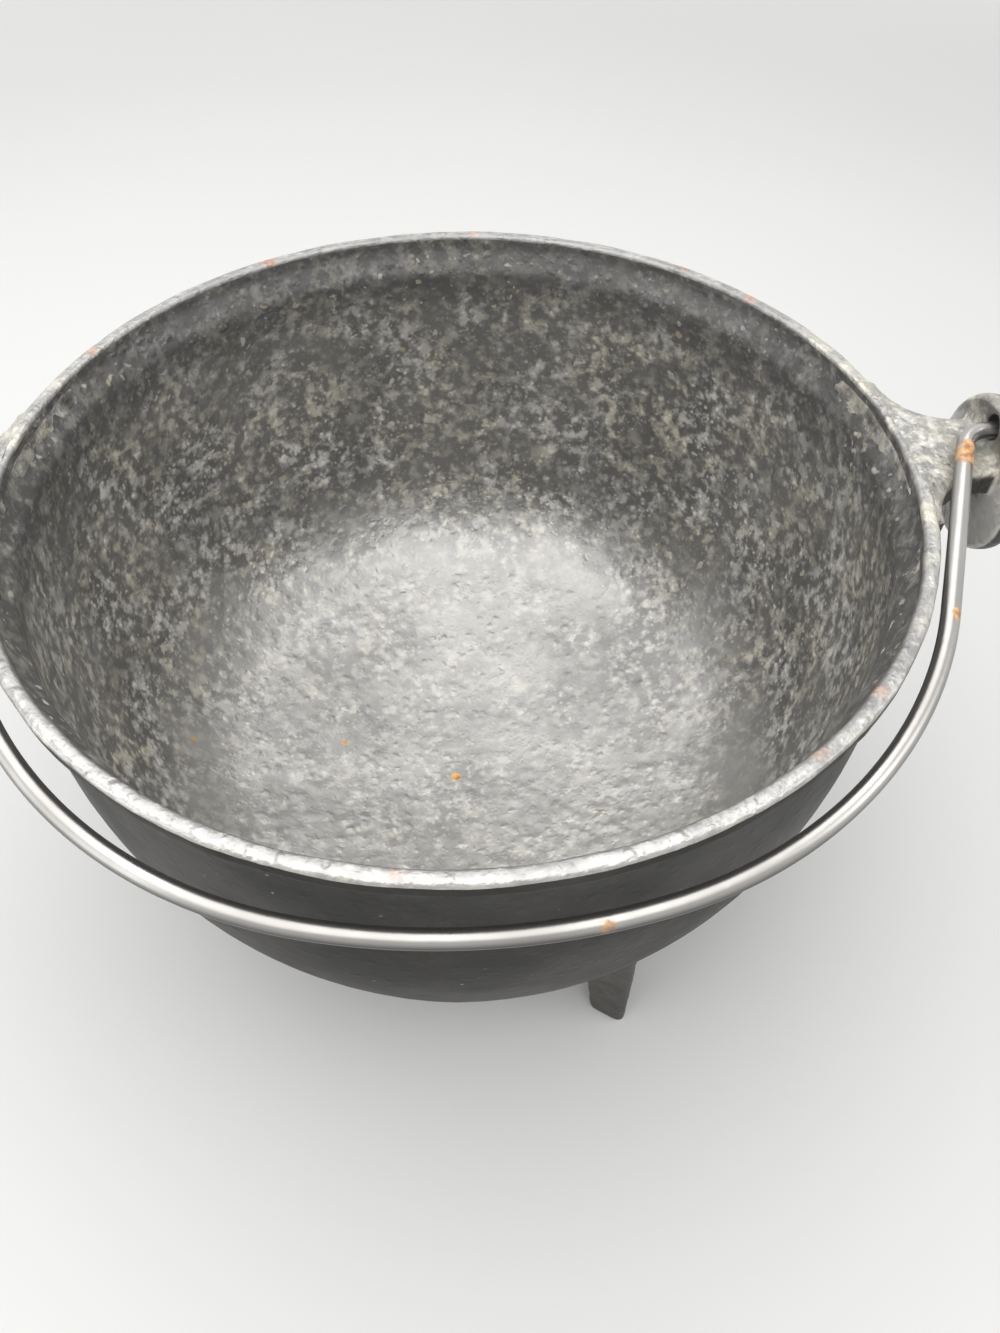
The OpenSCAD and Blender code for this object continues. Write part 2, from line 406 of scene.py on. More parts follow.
class Graph:
    """Short ways to add nodes to a node tree."""

    def __init__(self, tree: bpy.types.NodeTree) -> None:
        """Keeps the tree that nodes are added to."""
        self.tree = tree

    def node(self, kind: str, inputs: dict[str | int, object] | None = None, **values: object) -> Node:
        """Adds a node.

        Args:
            kind: Type of the node.
            inputs: Links or plain values, by the input's name or number.
            **values: Properties of the node.

        Returns:
            The node.
        """
        made = self.tree.nodes.new(kind)
        for key, value in values.items():
            setattr(made, key, value)
        for key, value in (inputs or {}).items():
            if isinstance(value, Socket):
                self.tree.links.new(value, made.inputs[key])
            else:
                made.inputs[key].default_value = value
        return made

    def math(self, operation: str, a: object, b: object = 0.0, clamp: bool = False) -> Socket:
        """Adds a Math node and returns its result."""
        return self.node("ShaderNodeMath", {0: a, 1: b}, operation=operation, use_clamp=clamp).outputs[0]

    plus = partialmethod(math, "ADD")
    minus = partialmethod(math, "SUBTRACT")
    times = partialmethod(math, "MULTIPLY")
    most = partialmethod(math, "MAXIMUM")

    def vector(self, operation: str, a: object, b: object = (0.0, 0.0, 0.0)) -> Node:
        """Adds a Vector Math node and returns it."""
        return self.node("ShaderNodeVectorMath", {0: a, 1: b}, operation=operation)

    def split(self, whole: Socket, kind: str = "XYZ") -> Sequence[Socket]:
        """The three parts of a vector, or of a colour."""
        return self.node("ShaderNodeSeparate" + kind, {0: whole}).outputs

    def facing(self) -> Sequence[Socket]:
        """The three parts of the direction that the piece's surface faces."""
        return self.split(self.node("ShaderNodeAttribute", attribute_name=FACING).outputs["Vector"])

    def place(self) -> Socket:
        """The place on the piece."""
        return self.node("ShaderNodeTexCoord").outputs["Object"]

    def ramp(self, value: object, low: float, high: float, to_low: float = 0, to_high: float = 1) -> Socket:
        """Maps a value smoothly from one range to another, held at the ends."""
        inputs = dict(enumerate((value, low, high, to_low, to_high)))
        return self.node("ShaderNodeMapRange", inputs, interpolation_type="SMOOTHSTEP").outputs[0]

    def mix(self, share: object, a: object, b: object, blend: str = "MIX") -> Socket:
        """Mixes two colours."""
        inputs = {0: share, 6: a, 7: b}
        return self.node("ShaderNodeMix", inputs, data_type="RGBA", blend_type=blend).outputs[2]

    def noise(self, place: object, scale: object, detail: float = 3.0, rough: float = 0.55) -> Socket:
        """Adds a noise texture and returns its value."""
        inputs = {"Vector": place, "Scale": scale, "Detail": detail, "Roughness": rough}
        return self.node("ShaderNodeTexNoise", inputs).outputs["Fac"]

    def sway(self, place: object, scale: float, size: float, detail: float = 4, rough: float = 0.6) -> Socket:
        """Noise about zero, of a size, which makes the edge of a mask ragged."""
        return self.times(self.minus(self.noise(place, scale, detail, rough), 0.5), size)

    def bent(self, place: object, scale: object, reach: object) -> Socket:
        """Places shifted about by a noise, so that a pattern on them loses its even look.

        Args:
            place: The places.
            scale: Scale of the noise.
            reach: How far it shifts them.

        Returns:
            The shifted places.
        """
        warp = self.node("ShaderNodeTexNoise", {"Vector": place, "Scale": scale}).outputs["Color"]
        inputs = {0: self.vector("SUBTRACT", warp, HALF).outputs[0], "Scale": reach}
        shift = self.node("ShaderNodeVectorMath", inputs, operation="SCALE")
        return self.vector("ADD", place, shift.outputs[0]).outputs[0]

    def cells(self, place: object, scale: object, feature: str = "F1", **values: float) -> Node:
        """Adds a Voronoi texture and returns it."""
        return self.node("ShaderNodeTexVoronoi", {"Vector": place, "Scale": scale, **values}, feature=feature)

    def effect(self, effect: Effect, place: Socket, **values: float) -> Sequence[Socket]:
        """Adds a shared group at a place, with values of its own, and returns its outputs."""
        tree = bpy.data.node_groups[effect.value]
        return self.node("ShaderNodeGroup", {"Place": place, **values}, node_tree=tree).outputs


def blank_graph(owner: Material | bpy.types.World) -> Graph:
    """Empties the node tree of a material or a world.

    Args:
        owner: The material or world.

    Returns:
        Its graph, without nodes.
    """
    owner.use_nodes = True
    owner.node_tree.nodes.clear()
    return Graph(owner.node_tree)


class Group(Graph):
    """A shader node group under construction: a place and some numbers in, numbers or a colour out."""

    def __init__(self, effect: Effect, inputs: Sequence[str], outputs: Sequence[str]) -> None:
        """Makes the group and its sockets.

        Args:
            effect: Which group it is.
            inputs: Its numbers, besides the place.
            outputs: What it gives.
        """
        super().__init__(bpy.data.node_groups.new(effect.value, "ShaderNodeTree"))
        for side, labels in (("INPUT", ("Place", *inputs)), ("OUTPUT", outputs)):
            for label in labels:
                kind = SOCKETS.get(label, "NodeSocketFloat")
                self.tree.interface.new_socket(label, in_out=side, socket_type=kind)
        self.given = self.node("NodeGroupInput").outputs

    def give(self, **sockets: Socket) -> None:
        """Links sockets to the group's outputs."""
        self.node("NodeGroupOutput", sockets)


@dataclass(frozen=True)
class GrainScales:
    """Scales of the layers of cast grain, as shares of the grain's own."""

    bend: float = 0.55
    big: float = 0.50
    small: float = 1.05
    fine: float = 1.7
    blobs: float = 0.42
    pits: float = 0.42
    pitted: float = 0.12
    cloud: float = 0.09
    tint: float = 0.075
    slow: float = 0.035


def pebble_layer(g: Graph, place: Socket, scale: object, rare: float) -> tuple[Socket, Socket]:
    """Adds a layer of rounded pebbles, each with a height and a paleness.

    Args:
        g: Graph that takes the nodes.
        place: Where the surface is.
        scale: Pebbles per metre.
        rare: Share of the pebbles that stay low and dark.

    Returns:
        The height and the paleness.
    """
    cell = g.cells(place, scale, "SMOOTH_F1", Smoothness=0.55).outputs
    own = g.split(cell["Color"], "Color")
    dome = g.ramp(cell["Distance"], 0.56, 0.02)
    height = g.times(dome, g.ramp(own[0], 0.5 * rare, 1.0, 0.25, 1.0))
    return height, g.times(dome, g.ramp(own[1], rare, 1.0))


def grain_group() -> None:
    """Pebbles, pits and grain of sand casting: a height, a slow tone, and the pebbles' paleness and tint."""
    g = Group(Effect.GRAIN, ("Grain", "Pits"), ("Height", "Tone", "Mottle", "Tint"))
    place, grain, scales = g.given["Place"], g.given["Grain"], GrainScales()

    def spread(share: float, detail: float = 3.0, rough: float = 0.55) -> Socket:
        """Noise at a share of the grain's scale."""
        return g.noise(place, g.times(grain, share), detail, rough)

    bent = g.bent(place, g.times(grain, scales.bend), g.math("DIVIDE", 1.2, grain))
    big_height, big_pale = pebble_layer(g, bent, g.times(grain, scales.big), 0.38)
    small_height, small_pale = pebble_layer(g, bent, g.times(grain, scales.small), 0.45)
    near = g.cells(place, g.times(grain, scales.pits)).outputs["Distance"]
    pitted = g.ramp(spread(scales.pitted, 2.0), 0.5, 0.66)
    pit = g.times(g.times(g.ramp(near, 0.30, 0.10), pitted), g.given["Pits"])
    domes = g.plus(g.times(big_height, 0.75), g.times(small_height, 0.30))
    height = g.plus(domes, g.times(spread(scales.fine, 2.0, 0.5), 0.14))
    blobs = g.ramp(spread(scales.blobs, 3.0, 0.62), 0.43, 0.66, 0.0, 0.66)
    pale = g.plus(g.plus(g.times(big_pale, 0.75), g.times(small_pale, 0.75)), blobs)
    cloud = g.ramp(spread(scales.cloud, 3.0, 0.6), 0.36, 0.60, 0.38, 1.15)
    g.give(
        Height=g.minus(height, pit),
        Tone=spread(scales.slow, 4.0, 0.6),
        Mottle=g.times(pale, cloud, clamp=True),
        Tint=g.ramp(spread(scales.tint), 0.42, 0.60),
    )


def speck_group() -> None:
    """Specks of pale dust and scale that sit in a rough surface: a mask and their colour."""
    g = Group(Effect.SPECKS, ("Density", "Amount"), ("Mask", "Colour"))
    place, density, amount = g.given["Place"], g.given["Density"], g.given["Amount"]
    pale, tan = rgba((0.5, 0.5, 0.46)), rgba((0.36, 0.30, 0.2))
    bent = g.bent(place, 420.0, 3.2 * MM)
    big, small = (g.cells(bent, scale).outputs for scale in (density, g.times(density, 2.3)))
    big_own, small_own = (g.split(cell["Color"], "Color") for cell in (big, small))
    big_reach = g.times(g.ramp(big_own[0], 0.35, 1.0, 0.0, 0.30), amount)
    big_mask = g.ramp(g.minus(big_reach, big["Distance"]), -0.03, 0.10)
    small_reach = g.times(g.ramp(small_own[0], 0.50, 1.0, 0.0, 0.32), amount)
    small_mask = g.ramp(g.minus(small_reach, small["Distance"]), -0.02, 0.12)
    patch = g.ramp(g.noise(place, 45.0), 0.36, 0.62, 0.25, 1.0)
    g.give(
        Mask=g.times(g.most(big_mask, g.times(small_mask, 0.75)), patch, clamp=True),
        Colour=g.mix(g.ramp(big_own[1], 0.55, 0.8), pale, tan),
    )


def rust_group() -> None:
    """Rust that creeps over iron in blotches: a mask and a colour from brown to orange."""
    g = Group(Effect.RUST, ("Size", "Spread"), ("Mask", "Colour"))
    place, size = g.given["Place"], g.given["Size"]
    brown, orange = rgba((0.10, 0.042, 0.02)), rgba((0.42, 0.17, 0.055))
    bloom = g.plus(g.noise(place, size, 6.0, 0.65), g.times(g.given["Spread"], 0.3))
    tone = g.noise(place, g.times(size, 9.0))
    g.give(Mask=g.ramp(bloom, 0.70, 0.80), Colour=g.mix(g.ramp(tone, 0.35, 0.65), brown, orange))


def file_group() -> None:
    """Fine marks along the bowl's filed lip: a height, a tone, and a mask of the lip's inner half, where
    shade is painted.
    """
    g = Group(Effect.FILE, (), ("Height", "Tone", "Inner"))
    place, marks, fine = g.given["Place"], 34.0, 800.0
    x, y, z = g.split(place)
    out = g.math("SQRT", g.plus(g.times(x, x), g.times(y, y)))
    slant = g.plus(g.math("ARCTAN2", y, x), g.times(out, 6.0))
    scaled = {"X": g.times(slant, marks), "Y": g.times(out, fine), "Z": g.times(z, fine)}
    along = g.node("ShaderNodeCombineXYZ", scaled).outputs[0]
    g.give(
        Height=g.noise(along, 1.0, 3.0, 0.6),
        Tone=g.noise(along, 0.55, 4.0, 0.62),
        Inner=g.ramp(g.plus(out, g.sway(place, 260.0, 3.4 * MM, 4.0, 0.65)), 94.6 * MM, 92.8 * MM),
    )


def build_effects() -> None:
    """Builds every shared shader group once."""
    for build in (grain_group, speck_group, rust_group, file_group):
        build()


# Layers of a finish


@dataclass
class Coat:
    """A finish under way: its nodes, and what its layers have made of it so far."""

    g: Graph
    place: Socket
    grain: Sequence[Socket]
    dark: Colour
    light: Colour
    colour: Socket
    height: Socket
    rough: Socket
    metal: object
    low: Socket | None = None

    def paint(self, mask: object, colour: object) -> None:
        """Lays a colour over the coat where a mask says."""
        self.colour = self.g.mix(mask, self.colour, colour)

    def dull(self, mask: object, rough: float = 0.85) -> None:
        """Makes the coat at least so rough where a mask says."""
        self.rough = self.g.most(self.rough, self.g.times(mask, rough))

    def roughen(self, mask: object, rough: float) -> None:
        """Makes the coat rougher by so much where a mask says."""
        self.rough = self.g.plus(self.rough, self.g.times(mask, rough))


class Layer(Protocol):
    """One layer of a finish."""

    def apply(self, coat: Coat) -> None:
        """Lays the layer on.

        Args:
            coat: The finish under way, which the layer changes.
        """


@dataclass(frozen=True)
class Mottle:
    """Pale pebbles, grey and tan by turns."""

    amount: float
    grey: Colour
    tan: Colour

    def apply(self, coat: Coat) -> None:
        """Lays it on."""
        g, grain = coat.g, coat.grain
        tint = g.mix(grain["Tint"], rgba(self.grey), rgba(self.tan))
        coat.paint(g.times(grain["Mottle"], self.amount), tint)


@dataclass(frozen=True)
class WornBottomSheenAndFlareShade:
    """A pot's inside, scoured bare low down, where its paler colour is partly wear and partly a painted
    sheen, and left dull in the flare under its lip, which is darkened as painted shade.
    """

    # Paler colour low down: partly scoured wear, partly a painted sheen.
    colour: Colour = (0.40, 0.39, 0.37)
    amount: float = 0.7
    bare: float = 0.30
    smoothed: float = 0.45
    levels: Level = (62 * MM, 34 * MM)
    ragged: float = 36 * MM
    flare: Level = (106 * MM, 118 * MM)
    flare_rough: float = 0.24
    # Painted shade multiplied into the flare under the lip.
    flare_painted_shade: Colour = (0.34, 0.34, 0.34)

    def apply(self, coat: Coat) -> None:
        """Lays it on."""
        g, z = coat.g, coat.g.split(coat.place)[2]
        coat.low = g.ramp(g.plus(z, g.sway(coat.place, 60.0, self.ragged)), *self.levels)
        uneven = g.ramp(coat.grain["Tone"], 0.3, 0.6, 0.55, 1.0)
        # Paints the paler colour low down: partly wear, partly a painted sheen.
        coat.paint(g.times(g.times(coat.low, uneven), self.amount), rgba(self.colour))
        flare = g.ramp(z, *self.flare)
        coat.roughen(flare, self.flare_rough)
        # Painted shade: darkens the flare under the lip.
        coat.colour = g.mix(flare, coat.colour, rgba(self.flare_painted_shade), "MULTIPLY")
        coat.height = g.times(coat.height, g.minus(1.0, g.times(coat.low, self.smoothed)))
        coat.metal = g.plus(g.times(coat.low, self.bare), coat.metal)


@dataclass(frozen=True)
class FileMarks:
    """Bright marks along the filed lip, whose inner half stays dull and is darkened as painted shade."""

    amount: float = 0.50
    brighter: float = 1.9
    deeper: float = 1.5
    darker: float = 0.55
    inner: float = 0.72
    inner_rough: float = 0.16

    def apply(self, coat: Coat) -> None:
        """Lays it on."""
        g, marks = coat.g, coat.g.effect(Effect.FILE, coat.place)
        bright = rgba([min(1.0, self.brighter * c) for c in coat.light])
        coat.paint(g.ramp(marks["Tone"], 0.42, 0.66, 0.0, self.amount), bright)
        coat.height = g.plus(coat.height, g.times(marks["Height"], self.deeper * self.amount))
        # Painted shade: darkens the lip's inner half, which slopes away from the light.
        coat.paint(g.times(marks["Inner"], self.inner), rgba([self.darker * c for c in coat.dark]))
        coat.roughen(marks["Inner"], self.inner_rough)


@dataclass(frozen=True)
class Cream:
    """Pale old scale near the ears."""

    amount: float
    colour: Colour = (0.62, 0.58, 0.46)
    reach: Level = (74 * MM, 94 * MM)

    def apply(self, coat: Coat) -> None:
        """Lays it on."""
        g = coat.g
        side = g.ramp(g.math("ABSOLUTE", g.split(coat.place)[0]), *self.reach)
        patch = g.ramp(g.noise(coat.place, 110.0, 4.0, 0.6), 0.46, 0.62)
        coat.paint(g.times(g.times(side, patch), self.amount), rgba(self.colour))


@dataclass(frozen=True)
class EarPaintedLightAndShade:
    """An ear painted dark as painted shade, except where it faces up and on the flange's face towards the
    bowl, which keep the ear's pale colour as painted light; the lower part of that face is painted paler
    still as painted light.
    """

    # Dark colour painted over the ear as painted shade.
    skin: Colour = (0.024, 0.0228, 0.0205)
    painted_light_colour: Colour = (0.84, 0.82, 0.77)
    painted_light_amount: float = 0.8
    shaded_rough: float = 0.16
    ragged: float = 6 * MM
    flange: Level = (103.0 * MM, 107.5 * MM)
    outer: Level = (115.0 * MM, 112.8 * MM)
    crest: Level = (128.0 * MM, 133.0 * MM)
    below: Level = (128.5 * MM, 123.5 * MM)

    def apply(self, coat: Coat) -> None:
        """Lays it on."""
        g = coat.g
        x, _, z = g.split(coat.place)
        facing_x, _, facing_z = g.facing()
        sway = g.sway(coat.place, 150.0, 1.0)
        # Painted light: faces that look up keep the ear's pale colour.
        top = g.ramp(g.plus(facing_z, sway), 0.05, 0.50)
        inward = g.times(g.times(facing_x, g.math("SIGN", x)), -1.0)
        reach = g.math("ABSOLUTE", x)
        inner = g.times(g.ramp(inward, 0.25, 0.65), g.ramp(reach, *self.flange))
        level = g.plus(z, g.times(sway, self.ragged))
        painted_lit = g.most(top, g.times(inner, g.ramp(level, *self.crest, 1.0, 0.35)))
        painted_lit = g.times(painted_lit, g.ramp(reach, *self.outer))
        # Painted light: the lower part of the flange's face towards the bowl is painted paler still.
        coat.paint(g.times(g.times(inner, g.ramp(level, *self.below)), self.painted_light_amount), rgba(self.painted_light_colour))
        # Painted shade: everything not left lit gets the dark colour.
        coat.colour = g.mix(painted_lit, rgba(self.skin), coat.colour)
        coat.roughen(g.minus(1.0, painted_lit), self.shaded_rough)


@dataclass(frozen=True)
class Specks:
    """Specks of pale dust, fewer where the pot is scoured."""

    amount: float
    density: float
    cover: float = 0.85
    raised: float = 0.12
    scoured: float = 0.7

    def apply(self, coat: Coat) -> None:
        """Lays it on."""
        g = coat.g
        specks = g.effect(Effect.SPECKS, coat.place, Density=self.density, Amount=self.amount)
        share = g.times(specks["Mask"], self.cover)
        if coat.low:
            share = g.times(share, g.minus(1.0, g.times(coat.low, self.scoured)))
        coat.paint(share, specks["Colour"])
        coat.height = g.plus(coat.height, g.times(specks["Mask"], self.raised))


@dataclass(frozen=True)
class WireBand:
    """A wire rubbed bright on the two sides that face out of its bend's plane, and darkened between them as
    painted shade.
    """

    metal: float = 0.95
    flank_shade: float = 0.2

    def apply(self, coat: Coat) -> None:
        """Lays it on."""
        g = coat.g
        out = g.math("ABSOLUTE", g.facing()[2])
        # Painted shade: darkens the flanks between the bright sides.
        coat.colour = g.mix(g.ramp(out, 0.0, 0.70), rgba([self.flank_shade * c for c in coat.dark]), coat.colour)
        coat.metal = g.ramp(out, 0.05, 0.85, coat.metal, self.metal)


@dataclass(frozen=True)
class Rust:
    """Thin rust in blotches."""

    amount: float
    size: float

    def apply(self, coat: Coat) -> None:
        """Lays it on."""
        rust = coat.g.effect(Effect.RUST, coat.place, Size=self.size, Spread=self.amount)
        coat.paint(rust["Mask"], rust["Colour"])
        coat.dull(rust["Mask"])


@dataclass(frozen=True)
class Spot:
    """A rust spot at a place on the pot, in metres."""

    place: Point
    radius: float
    strength: float = 1.0


@dataclass(frozen=True)
class Spots:
    """Rust spots, ragged at their edges."""

    spots: tuple[Spot, ...]
    dark: Colour
    light: Colour
    ragged: float = 4.2 * MM
    core: float = 0.35

    def apply(self, coat: Coat) -> None:
        """Lays it on."""
        g = coat.g
        sway = g.sway(coat.place, 700.0, self.ragged, 3.0, 0.55)
        masks = []
        for spot in self.spots:
            away = g.plus(g.vector("DISTANCE", coat.place, spot.place).outputs["Value"], sway)
            masks.append(g.ramp(away, spot.radius, self.core * spot.radius, 0.0, spot.strength))
        mask = masks[0]
        for other in masks[1:]:
            mask = g.most(mask, other)
        tone = g.ramp(g.noise(coat.place, 520.0), 0.3, 0.7)
        coat.paint(mask, g.mix(tone, rgba(self.dark), rgba(self.light)))
        coat.dull(mask)


# Finishes


@dataclass(frozen=True)
class Finish:
    """A finish of the pot: a ground of cast or drawn metal, and the layers on it."""

    name: str
    dark: Colour
    light: Colour
    rough: Level
    ior: float
    grain: float
    pits: float
    bump: float
    layers: tuple[Layer, ...]
    metal: float = 0.0
    relief: float = 0.35 * MM

    def build(self) -> Material:
        """Builds the material.

        Returns:
            The material, with its layers laid on in order.
        """
        material = bpy.data.materials.new(self.name)
        g = blank_graph(material)
        place = g.place()
        grain = g.effect(Effect.GRAIN, place, Grain=self.grain, Pits=self.pits)
        colour = g.mix(g.ramp(grain["Tone"], 0.32, 0.68), rgba(self.dark), rgba(self.light))
        rough = g.ramp(grain["Tone"], 0.3, 0.7, *self.rough[::-1])
        coat = Coat(g, place, grain, self.dark, self.light, colour, grain["Height"], rough, self.metal)
        for layer in self.layers:
            layer.apply(coat)
        heights = {"Strength": self.bump, "Distance": self.relief, "Height": coat.height}
        normal = g.node("ShaderNodeBump", heights).outputs[0]
        surface = {"Base Color": coat.colour, "Roughness": coat.rough, "Metallic": coat.metal}
        shader = g.node("ShaderNodeBsdfPrincipled", {**surface, "IOR": self.ior, "Normal": normal})
        g.node("ShaderNodeOutputMaterial", {0: shader.outputs[0]})
        return material


LIP_SPOTS = (
    Spot((-0.0826, 0.0447, 0.129), 2.6 * MM, 0.8),
    Spot((-0.0452, 0.0822, 0.129), 2.8 * MM),
    Spot((0.0078, 0.0937, 0.129), 2.2 * MM, 0.7),
    Spot((0.0598, 0.0722, 0.129), 1.8 * MM, 0.9),
    Spot((0.0738, 0.0580, 0.129), 2.2 * MM),
    Spot((-0.0130, -0.0926, 0.129), 2.0 * MM, 0.5),
    Spot((0.0544, -0.0756, 0.128), 2.4 * MM, 0.6),
    Spot((0.0678, -0.0640, 0.128), 2.4 * MM, 0.6),
)
BOWL_SPOTS = (
    Spot((-0.0040, -0.0097, 0.0265), 1.7 * MM),
    Spot((-0.0346, 0.0017, 0.0294), 1.2 * MM, 0.7),
    Spot((-0.0724, -0.0040, 0.0432), 1.3 * MM, 0.6),
)
WIRE_SPOTS = (
    Spot((0.1035, -0.0075, 0.1322), 5.0 * MM, 0.9),
    Spot((-0.1035, -0.0075, 0.1322), 5.5 * MM, 0.9),
    Spot((0.0885, -0.0460, 0.1268), 1.6 * MM, 0.8),
    Spot((0.0180, -0.0985, 0.1190), 1.8 * MM, 0.7),
)

INSIDE = Finish(
    "iron_inside", dark=(0.060, 0.058, 0.053), light=(0.130, 0.126, 0.116),
    rough=(0.30, 0.46), ior=2.0, grain=700.0, pits=0.10, bump=1.0, relief=0.36 * MM,
    layers=(
        Mottle(1.0, (0.60, 0.585, 0.55), (0.56, 0.525, 0.435)),
        WornBottomSheenAndFlareShade(),
        Specks(1.0, 300.0),
        Rust(0.02, 30.0),
        Spots(BOWL_SPOTS, (0.45, 0.22, 0.06), (0.85, 0.50, 0.14)),
    ),
)
OUTSIDE = Finish(
    "iron_outside", dark=(0.012, 0.0114, 0.0104), light=(0.026, 0.0243, 0.0218),
    rough=(0.48, 0.64), ior=1.38, grain=700.0, pits=0.35, bump=0.35,
    layers=(Mottle(0.12, (0.09, 0.088, 0.083), (0.10, 0.085, 0.065)), Specks(0.30, 240.0), Rust(0.05, 38.0)),
)
LIP = Finish(
    "iron_lip", dark=(0.11, 0.107, 0.099), light=(0.30, 0.291, 0.272),
    rough=(0.22, 0.42), metal=0.2, ior=3.0, grain=820.0, pits=0.5, bump=0.8, relief=0.40 * MM,
    layers=(
        Mottle(0.75, (0.60, 0.585, 0.55), (0.54, 0.49, 0.39)),
        FileMarks(),
        Cream(0.75),
        Specks(0.40, 260.0),
        Rust(0.04, 70.0),
        Spots(LIP_SPOTS, (0.22, 0.10, 0.06), (0.46, 0.25, 0.14)),
    ),
)
# The ear's pale colours show only on the faces left as painted light; the rest is painted dark as painted
# shade.
EAR = Finish(
    "iron_ear", dark=(0.22, 0.215, 0.20), light=(0.36, 0.35, 0.325),
    rough=(0.30, 0.50), metal=0.05, ior=1.65, grain=950.0, pits=0.7, bump=0.9, relief=0.50 * MM,
    layers=(
        Mottle(1.0, (0.72, 0.71, 0.67), (0.72, 0.66, 0.53)),
        Cream(0.30),
        EarPaintedLightAndShade(),
        Specks(0.55, 300.0),
        Rust(0.03, 55.0),
    ),
)
FOOT = Finish(
    "iron_foot", dark=(0.028, 0.024, 0.020), light=(0.065, 0.057, 0.049),
    rough=(0.42, 0.6), ior=1.6, grain=650.0, pits=0.5, bump=0.5,
    layers=(Mottle(0.35, (0.12, 0.115, 0.105), (0.13, 0.10, 0.075)), Specks(0.35, 190.0), Rust(0.08, 45.0)),
)
WIRE = Finish(
    "steel_wire", dark=(0.31, 0.300, 0.285), light=(0.48, 0.468, 0.448),
    rough=(0.24, 0.36), metal=0.35, ior=1.5, grain=520.0, pits=0.25, bump=0.10,
    layers=(WireBand(), Rust(0.06, 75.0), Spots(WIRE_SPOTS, (0.36, 0.18, 0.08), (0.80, 0.50, 0.26))),
)


# Pieces


@dataclass(frozen=True)
class Bowl:
    """The bowl with its rounded lip, spun in one from its profile."""

    profile: BowlProfile
    around: int = 480
    inner_step: float = 1.16 * MM
    outer_step: float = 3.4 * MM
    flare_steps: int = 5
    even_out: float = 32 * MM
    even_step: float = 0.55
    lip_margin: float = 0.9 * MM

    def line(self) -> list[Level]:
        """The bowl's half section.

        Returns:
            Radius and height of each point, from the bottom's outer middle over the lip to its inner middle.
        """
        p = self.profile
        r, side_in = p.lip_round, p.side_r - p.wall
        lip = [(p.lip_r - r, p.lip_base), *p.corner(p.lip_r - r, p.lip_base + r, -45, 0)]
        lip += [(p.lip_r, p.pot_h - 1.8 * r), *p.corner(p.lip_r - r, p.pot_h - r, 0, 90)]
        lip += [(p.mouth_r + 0.5 * p.lip_w, p.pot_h), *p.corner(p.mouth_r + r, p.pot_h - r, 90, 180)]
        lip += [(p.mouth_r, p.pot_h - 1.8 * r), (p.mouth_r, p.lip_base + r)]
        flare = []
        for i in range(self.flare_steps - 1, 0, -1):
            share = i / self.flare_steps
            flare.append((side_in + (p.mouth_r - side_in) * share, p.flare_base + (p.flare_h + r) * share))
        return p.wall_line(0.0, self.outer_step) + lip + flare + p.wall_line(p.wall, self.inner_step)[::-1]

    def is_outer(self, co: Vector) -> bool:
        """Whether a point of the surface lies on the outside."""
        return self.profile.height_over(co) > -0.5 * self.profile.wall

    def relief(self, co: Vector) -> float:
        """Height of the relief at a point.

        Args:
            co: The point.

        Returns:
            The height, with inside, lip and outside run into each other.
        """
        under = self.profile.lip_base - self.lip_margin - co.z
        lip = min(1.0, max(0.0, 1.0 - under / (3 * self.lip_margin)))
        body = FAIR_OUTSIDE.height(co) if self.is_outer(co) else ROUGH_INSIDE.height(co)
        return body * (1.0 - lip) + WORN_LIP.height(co) * lip

    def face_of(self, face: bmesh.types.BMFace) -> Face:
        """The finish of a face, by where it lies on the section.

        Args:
            face: A face of the bowl.

        Returns:
            Its finish.
        """
        co = face.calc_center_median()
        if co.z > self.profile.pot_h - 1.1 * self.profile.lip_round:
            return Face.LIP
        return Face.OUTSIDE if self.is_outer(co) else Face.INSIDE

    def build(self, finishes: Sequence[Material]) -> None:
        """Builds and dresses the bowl.

        Args:
            finishes: Materials in the order of Face.
        """
        bm = bmesh.new()
        spin_line(bm, self.line(), 0.0, math.tau, self.around)
        bmesh.ops.remove_doubles(bm, verts=bm.verts, dist=MERGE)
        middle = [v for v in bm.verts if math.hypot(v.co.x, v.co.y) < self.even_out]
        bmesh.ops.remove_doubles(bm, verts=middle, dist=self.even_step * self.inner_step)
        bmesh.ops.recalc_face_normals(bm, faces=bm.faces)
        for face in bm.faces:
            face.material_index = self.face_of(face).value
        displace(bm, self.relief)
        dress(finish_mesh("bowl_casting", bm), Body.POT, "bowl", finishes)


